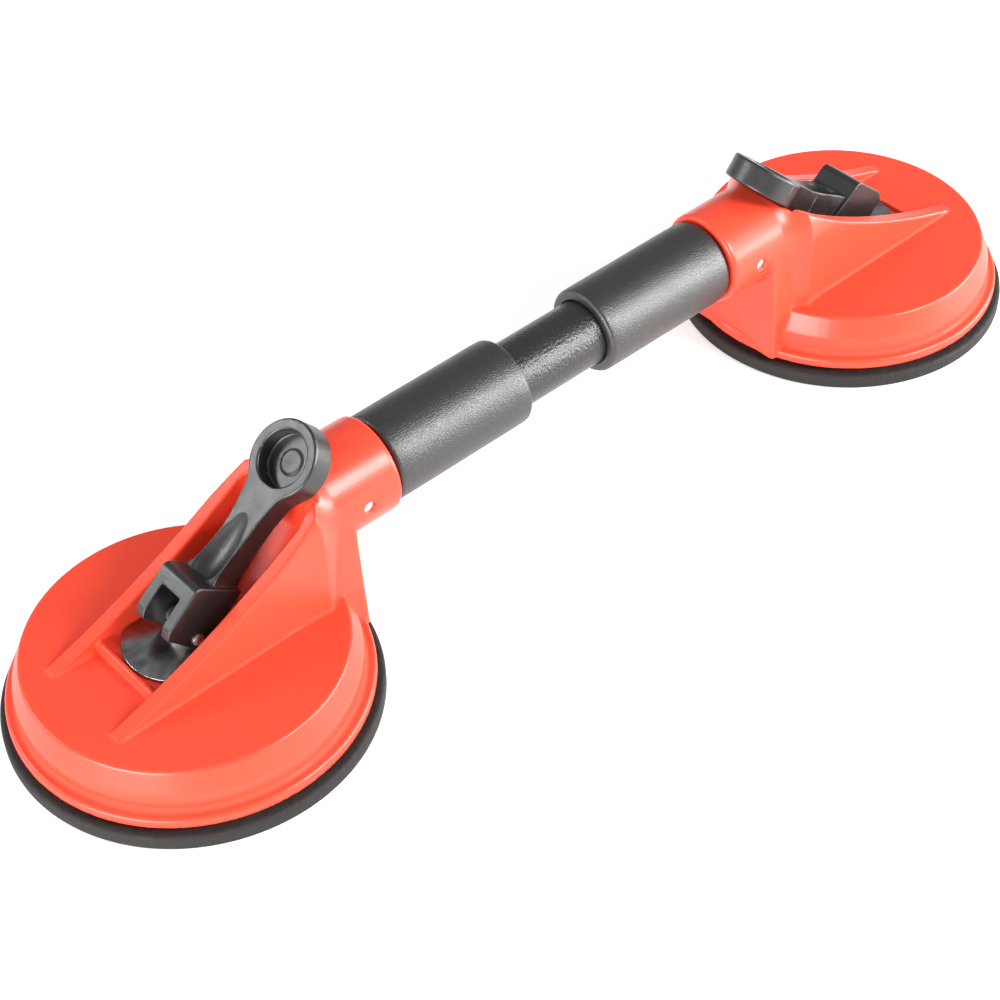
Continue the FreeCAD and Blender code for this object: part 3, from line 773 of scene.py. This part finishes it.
class LIFTER_OT_make_grips(bpy.types.Operator):
    """Turn the grained sleeves on the bar, with rolled ends"""
    bl_idname = "lifter.make_grips"
    bl_label = "Make Grips"

    def execute(self, context):
        sizes = context.scene.lifter_sizes
        start, end = GRIP_LOW.x / MM, GRIP_HIGH.x / MM
        outer, inner = 0.5 * (GRIP_HIGH.z - GRIP_LOW.z) / MM, GRIP_BORE_RADIUS
        roll = [(0.0, 1.7), (0.12, 1.0), (0.45, 0.45), (0.95, 0.12), (1.6, 0.0)]
        first = [(outer - 0.1 - fall, start + along) for along, fall in roll]
        last = [(outer - 0.1 - fall, end - along) for along, fall in reversed(roll)]
        body = [(outer - 0.04, start + 6), (outer, start + 16), (outer - 0.05, start + 30),
                (outer - 0.02, end - 6)]
        mouth = [(inner + 0.4, end), (inner, end - 0.4), (inner, start + 0.4), (inner + 0.4, start)]
        profile = first + body + last + mouth + first[:1]
        left = turned_piece("sleeve_grip_left", profile, sizes.turn_steps, axis=(1, 0, 0))
        placed(left, Matrix.Translation((0, 0, BAR_HEIGHT)))
        finished_pair(left, "grip_grained_sleeve", "grip_foam", "frame", "grip_")
        return {"FINISHED"}


class LIFTER_OT_make_levers(bpy.types.Operator):
    """Model the cam levers: block, fork, dished arm and finger disc"""
    bl_idname = "lifter.make_levers"
    bl_label = "Make Cam Levers"

    def block(self):
        """Cam block: curved back, heel, bearing face, ridge and leaning shoulder."""
        back = arc_through((2.0, LEVER_BACK), (-1.6, -3.0), (-3.3, 0.8), 8)
        heel = arc_through((-3.3, 10.95), (-2.04, 11.79), (-0.3, 12.6), 5)
        ridge = arc_through((12.3, 12.6), (14.2, 12.1), (15.0, 10.9), 5)
        outline = back + heel + ridge + [(18.2, LEVER_BACK)]
        return drawn_slab("lever_block", [(s, 0, n) for s, n in outline],
                          (0, -BLOCK_HALF_WIDTH, 0), (0, 2 * BLOCK_HALF_WIDTH, 0))

    def arm_side(self):
        """Side view of the arm, whose front falls in a flat curve from block to disc."""
        front = arc_through((14.0, 6.4), (23.5, 4.25), (33.0, DISC_FACE), 8)
        outline = front + [(LEVER_REACH, DISC_FACE), (LEVER_REACH, LEVER_BACK),
                           (14.0, LEVER_BACK)]
        return drawn_slab("lever_arm", [(s, 0, n) for s, n in outline],
                          (0, -CUT_REACH, 0), (0, 2 * CUT_REACH, 0))

    def arm_front(self):
        """Front view of the arm: waisted, and flowing into the disc."""
        half = curve_through([(14.0, 7.6), (16.6, 6.5), (18.6, 5.65), (22.1, 5.2), (28.9, 5.0),
                              (35.1, 5.25), (39.5, 5.65), (43.0, 6.25), (45.5, 6.8), (47.2, 7.5),
                              (48.5, 8.45)], 5)
        outline = [(s, y, 0) for s, y in half] + [(s, -y, 0) for s, y in reversed(half)]
        return drawn_slab("lever_front", outline, (0, 0, -CUT_REACH), (0, 0, 2 * CUT_REACH))

    def disc(self, steps):
        """Finger disc with a round recess and a low button in its floor."""
        profile = [
            (0, LEVER_BACK), (11.7, LEVER_BACK), (12.1, -4.8), (12.1, 2.4), (11.7, DISC_FACE),
            (9.0, DISC_FACE), (8.6, 2.4), (8.6, -2.2), (3.9, -2.2), (3.7, -1.95), (3.0, -1.85),
            (0, -2.05)]
        piece = turned_piece("lever_disc", profile, steps)
        return placed(piece, Matrix.Translation((LEVER_REACH * MM, 0, 0)))

    def dish(self, steps):
        """Long dish in the arm's front, deep at the block and ending round before the disc."""
        floor = curve_through([(16.2, 4.6), (17.6, 3.75), (19.8, 3.0), (23.0, 2.35), (27.0, 2.0),
                               (31.0, 1.95), (34.5, 2.2), (37.0, 2.55), (39.5, 3.1)], 6)
        wall = [(DISH_AXIS - n, s) for s, n in floor]
        profile = [(0, floor[0][0])] + wall + [(0, floor[-1][0])]
        piece = turned_piece("lever_dish", profile, steps, axis=(1, 0, 0))
        return placed(piece, Matrix.Translation((0, 0, DISH_AXIS * MM)))

    def fork_slot(self):
        """Block that cuts the fork."""
        take()
        low = Vector((-CUT_REACH, -FORK_HALF_WIDTH, -CUT_REACH)) * MM
        high = Vector((FORK_END, FORK_HALF_WIDTH, CUT_REACH)) * MM
        bpy.ops.mesh.primitive_cube_add(size=1.0, location=0.5 * (low + high))
        piece = bpy.context.object
        piece.scale = high - low
        bpy.ops.object.transform_apply(location=True, rotation=True, scale=True)
        return piece

    def execute(self, context):
        sizes = context.scene.lifter_sizes
        lever = self.arm_side()
        lever.name = "cam_lever_moulding_left"
        bore = post(AXLE_BORE_RADIUS, 24, 48, rotation=(math.pi / 2, 0, 0))
        cuts = ((self.arm_front(), "INTERSECT"), (self.block(), "UNION"),
                (self.disc(96), "UNION"), (self.dish(64), "DIFFERENCE"),
                (self.fork_slot(), "DIFFERENCE"), (bore, "DIFFERENCE"))
        for tool, operation in cuts:
            # Unlike the exact solver, this one orders its points the same way each run
            combined(lever, tool, operation, solver="MANIFOLD")
        softened(lever, sizes.lever_step, LEVER_PASSES, LEVER_KEPT)
        joint = next(j for j in frame["joints"] if j["name"] == "lever_turn_left")
        rest = math.radians(LEVER_REST_ANGLE)
        placed(lever, Matrix.Translation(joint["pos_m"]) @ Matrix.Rotation(-rest, 4, "Y"))
        finished_pair(lever, "lever_black_moulding", "lever_black", "lever_", "cam_lever_",
                      smooth=None)
        return {"FINISHED"}


class LIFTER_OT_make_heads(bpy.types.Operator):
    """Melt each moulded head into one skin with soft edges and corners"""
    bl_idname = "lifter.make_heads"
    bl_label = "Make Heads"

    def execute(self, context):
        sizes = context.scene.lifter_sizes
        left = merged_copy("housing_left", "head_moulding_left")
        softened(left, sizes.skin_step, HEAD_PASSES, HEAD_KEPT)
        finished_pair(left, "housing_red_plastic", "housing_red", "frame", "housing_",
                      smooth=None)
        return {"FINISHED"}


class LIFTER_OT_make_plates(bpy.types.Operator):
    """Stamp the wear plates, with arched ends and rolled edges"""
    bl_idname = "lifter.make_plates"
    bl_label = "Make Wear Plates"

    def execute(self, context):
        sizes = context.scene.lifter_sizes
        low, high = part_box("wear_plate_left")
        long, wide = 0.5 * (high.x - low.x) / MM, 0.5 * (high.y - low.y) / MM
        end = PLATE_END_RADIUS
        corner = long - end + math.sqrt(end * end - wide * wide)
        bow = arc_through((corner, wide), (long, 0), (corner, -wide), 24)
        outline = [(x, y, 0) for x, y in bow] + [(-x, -y, 0) for x, y in bow]
        thick = (high.z - low.z) / MM
        left = drawn_slab("zinc_wear_plate_left", outline, (0, 0, low.z / MM), (0, 0, thick))
        combined(left, post(STUD_HOLE_RADIUS, 60, 64), "DIFFERENCE")
        edged(left, sizes.plate_round, 4)
        placed(left, Matrix.Translation((-HEAD_PLACE, 0, 0)))
        finished_pair(left, "plate_mottled_zinc", "zinc_plate", "frame", "wear_plate_")
        return {"FINISHED"}


class LIFTER_OT_make_pins(bpy.types.Operator):
    """Turn the studs, the lever axles and the bar's cross pins"""
    bl_idname = "lifter.make_pins"
    bl_label = "Make Studs and Pins"

    def cross_pin(self, name, node, dome):
        """Pin along Y with eased edges and domed ends, as long as its CAD node."""
        low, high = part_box(node)
        radius, half = 0.5 * (high.z - low.z) / MM, 0.5 * (high.y - low.y) / MM
        end = [(0, half), (0.5 * radius, half - 0.2 * dome), (0.8 * radius, half - 0.6 * dome),
               (0.95 * radius, half - dome), (radius, half - 1.6 * dome)]
        piece = turned_piece(name, end + [(r, -h) for r, h in reversed(end)], 64, axis=(1, 0, 0))
        place = Matrix.Translation(middle_of(node))
        return placed(piece, place @ Matrix.Rotation(math.pi / 2, 4, "Z"))

    def stud(self, name):
        """Flanged stud with a rounded end, cross-drilled for the axle."""
        low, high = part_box("lift_stud_left")
        foot, top = low.z / MM, high.z / MM
        profile = [(0, foot), (7.1, foot), (7.5, foot + 0.3), (7.5, foot + 0.9), (7.1, foot + 1.2),
                   (4.6, foot + 1.2), (4.0, foot + 1.6), (4.0, top - 1.2), (3.84, top - 0.6),
                   (3.4, top - 0.16), (2.8, top), (0.5, top), (0, top - 0.3)]
        piece = turned_piece(name, profile, 96)
        place = Matrix.Translation((0, 0, middle_of("lever_axle_left").z))
        tool = post(STUD_BORE_RADIUS, 20, 64)
        placed(tool, place @ Matrix.Rotation(math.pi / 2, 4, "X"))
        tidied(combined(piece, tool, "DIFFERENCE"))
        return placed(piece, Matrix.Translation((-HEAD_PLACE, 0, 0)))

    def execute(self, context):
        stud = self.stud("turned_stud_left")
        axle = self.cross_pin("domed_axle_left", "lever_axle_left", AXLE_DOME)
        tube_pin = self.cross_pin("domed_tube_pin_left", "tube_pin_left", TUBE_PIN_DOME)
        finished_pair(stud, "pin_turned_steel", "bright_steel", "stud_", "lift_stud_")
        finished_pair(axle, "pin_turned_steel", "bright_steel", "stud_", "lever_axle_")
        finished_pair(tube_pin, "pin_turned_steel", "bright_steel", "frame", "tube_pin_")
        return {"FINISHED"}


class LIFTER_OT_make_bar(bpy.types.Operator):
    """Draw the coated bar as a pipe with eased mouths and drilled pin holes"""
    bl_idname = "lifter.make_bar"
    bl_label = "Make Bar"

    def execute(self, context):
        low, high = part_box("tube")
        half, outer = high.x / MM, 0.5 * (high.z - low.z) / MM
        inner = outer - TUBE_WALL
        mouth = [(inner, half - 0.4), (inner + 0.4, half), (outer - 0.4, half),
                 (outer, half - 0.4)]
        profile = mouth + [(r, -x) for r, x in reversed(mouth)] + mouth[:1]
        steps = context.scene.lifter_sizes.turn_steps
        bar = turned_piece("coated_bar", profile, steps, axis=(1, 0, 0))
        placed(bar, Matrix.Translation((0, 0, BAR_HEIGHT)))
        for side in SIDES:
            tool = post(TUBE_PIN_HOLE_RADIUS, 40, 48)
            place = Matrix.Translation(middle_of("tube_pin_" + side))
            placed(tool, place @ Matrix.Rotation(math.pi / 2, 4, "X"))
            combined(bar, tool, "DIFFERENCE")
        tidied(bar)
        finished(bar, "tube_textured_coating", "tube_black", "frame", "tube")
        return {"FINISHED"}


class LIFTER_OT_dress_solids(bpy.types.Operator):
    """Give the hidden anchor plates their finish"""
    bl_idname = "lifter.dress_solids"
    bl_label = "Dress Anchor Plates"

    def execute(self, context):
        for side in SIDES:
            dress(frame["nodes"]["anchor_plate_" + side], "pin_turned_steel")
        return {"FINISHED"}


class LIFTER_OT_set_stage(bpy.types.Operator):
    """Floor, soft boxes, white tent and the camera"""
    bl_idname = "lifter.set_stage"
    bl_label = "Set Stage"

    def soft_box(self, name, power, size, turn, height):
        """Area lamp that looks at the lifter from a turn and a height in degrees."""
        turn, height = math.radians(turn), math.radians(height)
        target = Vector((0, 0, BAR_HEIGHT))
        level = LAMP_REACH * math.cos(height)
        place = target + Vector((level * math.sin(turn), -level * math.cos(turn),
                                 LAMP_REACH * math.sin(height)))
        bpy.ops.object.light_add(type="AREA", location=place)
        lamp = bpy.context.object
        lamp.name = name
        lamp.data.shape = "RECTANGLE"
        lamp.data.size, lamp.data.size_y = size
        lamp.data.energy = power
        aim = target - lamp.location
        lamp.rotation_euler = aim.to_track_quat("-Z", "Y").to_euler()

    def tent(self, strength):
        """World that lights with a given strength and looks white to the camera."""
        world = bpy.data.worlds.new("white_tent")
        bpy.context.scene.world = world
        world.use_nodes = True
        nodes, links = world.node_tree.nodes, world.node_tree.links
        back = nodes["Background"]
        ray = put(nodes, "ShaderNodeLightPath", (-600, 0))
        level = put(nodes, "ShaderNodeMapRange", (-300, 0), To_Min=strength, To_Max=1.0)
        links.new(ray.outputs["Is Camera Ray"], level.inputs["Value"])
        back.inputs["Color"].default_value = (1, 1, 1, 1)
        links.new(level.outputs["Result"], back.inputs["Strength"])

    def floor(self):
        """White floor that takes shadows and glows where it is looked at."""
        bpy.ops.mesh.primitive_plane_add(size=FLOOR_SIZE, location=(0, 0, -FLOOR_DROP))
        floor = bpy.context.object
        floor.name = "floor"
        material, nodes, links, shader, _ = new_material("floor_white")
        shader.inputs["Base Color"].default_value = (0.9, 0.9, 0.9, 1)
        shader.inputs["Roughness"].default_value = 0.9
        shader.inputs["Emission Color"].default_value = (1, 1, 1, 1)
        ray = put(nodes, "ShaderNodeLightPath", (-600, -300))
        level = put(nodes, "ShaderNodeMapRange", (-300, -300), To_Min=0.0, To_Max=FLOOR_GLOW)
        seen = put(nodes, "ShaderNodeMath", (-450, -300), operation="MAXIMUM")
        links.new(ray.outputs["Is Camera Ray"], seen.inputs[0])
        links.new(ray.outputs["Is Glossy Ray"], seen.inputs[1])
        links.new(seen.outputs[0], level.inputs["Value"])
        links.new(level.outputs["Result"], shader.inputs["Emission Strength"])
        floor.data.materials.append(material)

    def camera(self, stage):
        """Camera at its eye, turned by azimuth, elevation and roll."""
        turn, height, roll = stage.azimuth, stage.elevation, stage.roll
        back = Vector((math.sin(turn) * math.cos(height), -math.cos(turn) * math.cos(height),
                       math.sin(height)))
        across = Vector((0, 0, 1)).cross(back).normalized()
        up = back.cross(across)
        x = across * math.cos(roll) - up * math.sin(roll)
        y = across * math.sin(roll) + up * math.cos(roll)
        bpy.ops.object.camera_add(location=stage.eye)
        camera = bpy.context.object
        camera.name = "camera"
        camera.rotation_euler = Matrix((x, y, back)).transposed().to_euler()
        camera.data.sensor_width = 36.0
        camera.data.lens = stage.lens
        camera.data.clip_start = 0.01
        bpy.context.scene.camera = camera

    def execute(self, context):
        stage = context.scene.lifter_stage
        context.scene.view_settings.view_transform = "Standard"
        for name, power, size, turn, height in LAMPS:
            self.soft_box(name, getattr(stage, power), size, turn, height)
        self.tent(stage.surround)
        self.floor()
        self.camera(stage)
        return {"FINISHED"}


class LIFTER_PT_panel(bpy.types.Panel):
    """Sidebar panel with the settings and the operators"""
    bl_idname = "LIFTER_PT_panel"
    bl_label = "Tile Suction Lifter"
    bl_space_type = "VIEW_3D"
    bl_region_type = "UI"
    bl_category = "Lifter"

    def draw(self, context):
        """Show every setting and a button for each step."""
        scene = context.scene
        for settings in (scene.lifter_sizes, scene.lifter_finish, scene.lifter_stage):
            box = self.layout.box()
            for name in settings.bl_rna.properties.keys():
                if name not in {"rna_type", "name"}:
                    box.prop(settings, name)
        for step in STEPS:
            self.layout.operator(step.bl_idname)


SETTINGS = {"lifter_sizes": LifterSizes, "lifter_finish": LifterFinish,
            "lifter_stage": LifterStage}
STEPS = (LIFTER_OT_mix_finishes, LIFTER_OT_make_heads, LIFTER_OT_make_pads, LIFTER_OT_make_plates,
         LIFTER_OT_make_levers, LIFTER_OT_make_pins, LIFTER_OT_make_bar, LIFTER_OT_make_grips,
         LIFTER_OT_dress_solids, LIFTER_OT_set_stage)
CLASSES = (*SETTINGS.values(), *STEPS, LIFTER_PT_panel)


def register():
    """Add the classes and hang the settings on the scene."""
    for cls in CLASSES:
        bpy.utils.register_class(cls)
    for name, group in SETTINGS.items():
        setattr(bpy.types.Scene, name, bpy.props.PointerProperty(type=group))


def unregister():
    """Take the settings and the classes out again."""
    for name in SETTINGS:
        delattr(bpy.types.Scene, name)
    for cls in reversed(CLASSES):
        bpy.utils.unregister_class(cls)


def main():
    """Run every step."""
    register()
    bpy.ops.object.select_all(action="DESELECT")
    for step in STEPS:
        area, name = step.bl_idname.split(".")
        getattr(getattr(bpy.ops, area), name)()


if __name__ == "__main__":
    main()
